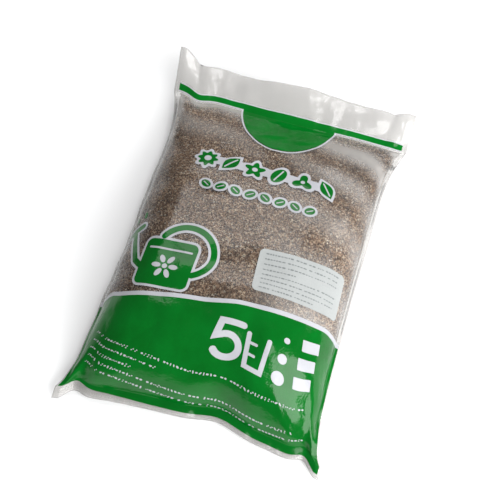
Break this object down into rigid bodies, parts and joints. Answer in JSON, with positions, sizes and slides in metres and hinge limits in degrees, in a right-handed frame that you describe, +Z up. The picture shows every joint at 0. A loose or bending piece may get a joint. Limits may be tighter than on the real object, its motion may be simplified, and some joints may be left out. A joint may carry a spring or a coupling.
{
  "type": "bag of vermiculite",
  "caption": "Clear welded film bag filled with loose vermiculite, printed in green and white, lying flat on its back with an empty header flap.",
  "frame": {"origin": "middle of the bag's outline on the table it lies on", "axes": "+Y along the bag towards its header flap, +X across to the right seen from the printed front, +Z up out of the printed front"},
  "size_m": [0.28, 0.4162, 0.08],
  "materials": {
    "clear_film": "clear glossy film, creased",
    "vermiculite": "loose mineral flakes, dull with small glints",
    "green_ink": "glossy printed ink under film",
    "white_ink": "glossy printed ink under film",
    "label_paper": "satin paper label"
  },
  "bodies": {
    "root": {"can_drop_1": "green_ink", "can_drop_2": "green_ink", "can_drop_3": "green_ink", "can_halo": "white_ink", "can_picture": "green_ink", "capacity_numeral": "white_ink", "choice_box_1": "white_ink", "choice_box_2": "white_ink", "choice_box_3": "white_ink", "disc_rim": "white_ink", "film_bag": "clear_film", "grain_dot_1": "white_ink", "grain_dot_2": "white_ink", "grain_dot_3": "white_ink", "green_field": "green_ink", "half_disc": "green_ink", "header_stripe": "green_ink", "measuring_cup": "white_ink", "paper_label": "label_paper", "subtitle_mark_1": "green_ink", "subtitle_mark_2": "green_ink", "subtitle_mark_3": "green_ink", "subtitle_mark_4": "green_ink", "subtitle_mark_5": "green_ink", "subtitle_mark_6": "green_ink", "subtitle_mark_7": "green_ink", "subtitle_mark_8": "green_ink", "text_line_1": "white_ink", "text_line_2": "white_ink", "text_line_3": "white_ink", "text_line_4": "white_ink", "text_line_5": "white_ink", "title_halo": "white_ink", "title_mark_1": "green_ink", "title_mark_2": "green_ink", "title_mark_3": "green_ink", "title_mark_4": "green_ink", "title_mark_5": "green_ink", "title_mark_6": "green_ink", "vermiculite_fill": "vermiculite", "white_wave": "white_ink"}
  },
  "joints": []
}
